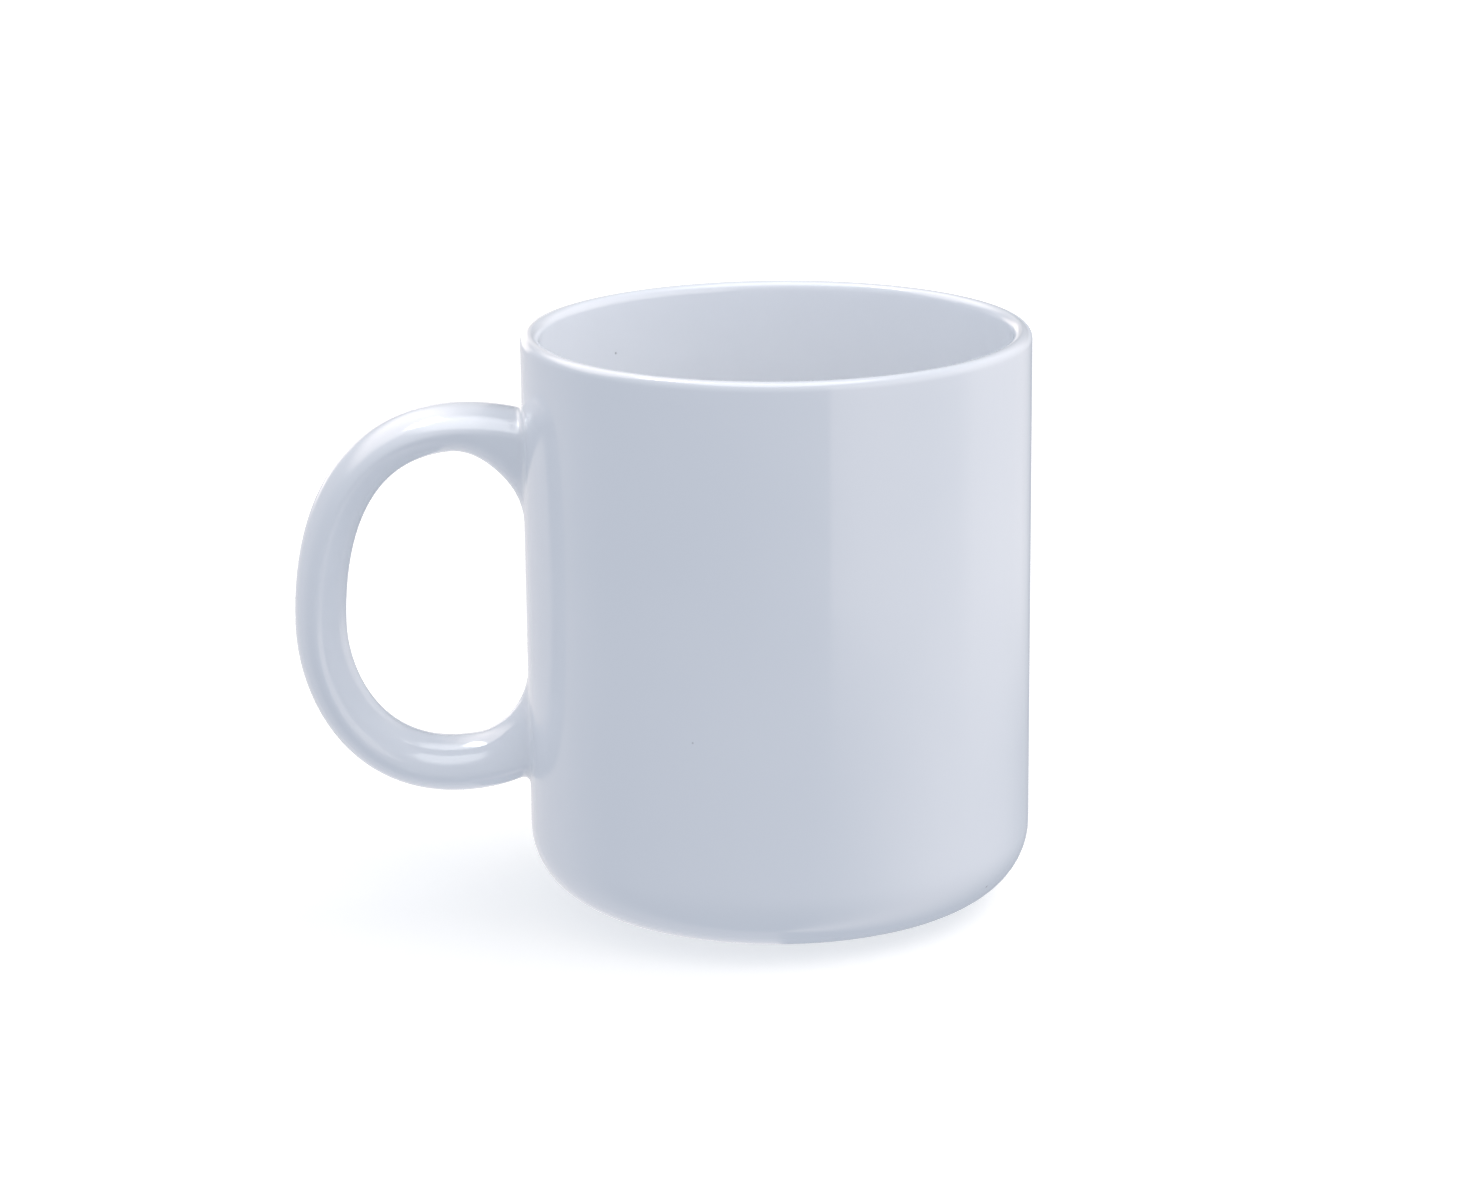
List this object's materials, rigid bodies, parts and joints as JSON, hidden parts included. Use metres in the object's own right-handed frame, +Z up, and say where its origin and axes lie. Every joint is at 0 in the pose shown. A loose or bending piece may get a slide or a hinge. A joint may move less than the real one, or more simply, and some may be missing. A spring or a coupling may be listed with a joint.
{
  "type": "ceramic mug",
  "caption": "Straight-sided glazed ceramic mug with a rounded heel, a dry foot ring and a C-shaped loop handle stuck on with slip.",
  "frame": {"origin": "centre of the foot ring's flat face, on the cup's axis, at the table", "axes": "+Z up out of the cup's mouth; -X the way the handle stands out; +Y away from a viewer who has the handle on the left"},
  "size_m": [0.1207, 0.0824, 0.095],
  "materials": {
    "fired_clay": "matt, unglazed",
    "fired_slip": "matt, sponged",
    "white_glaze": "gloss"
  },
  "bodies": {
    "root": {"cup_body": "fired_clay", "handle": "fired_clay", "upper_slip_joint": "fired_slip", "lower_slip_joint": "fired_slip", "outer_glaze": "white_glaze", "liner_glaze": "white_glaze", "handle_glaze": "white_glaze", "base_glaze": "white_glaze"}
  },
  "joints": []
}
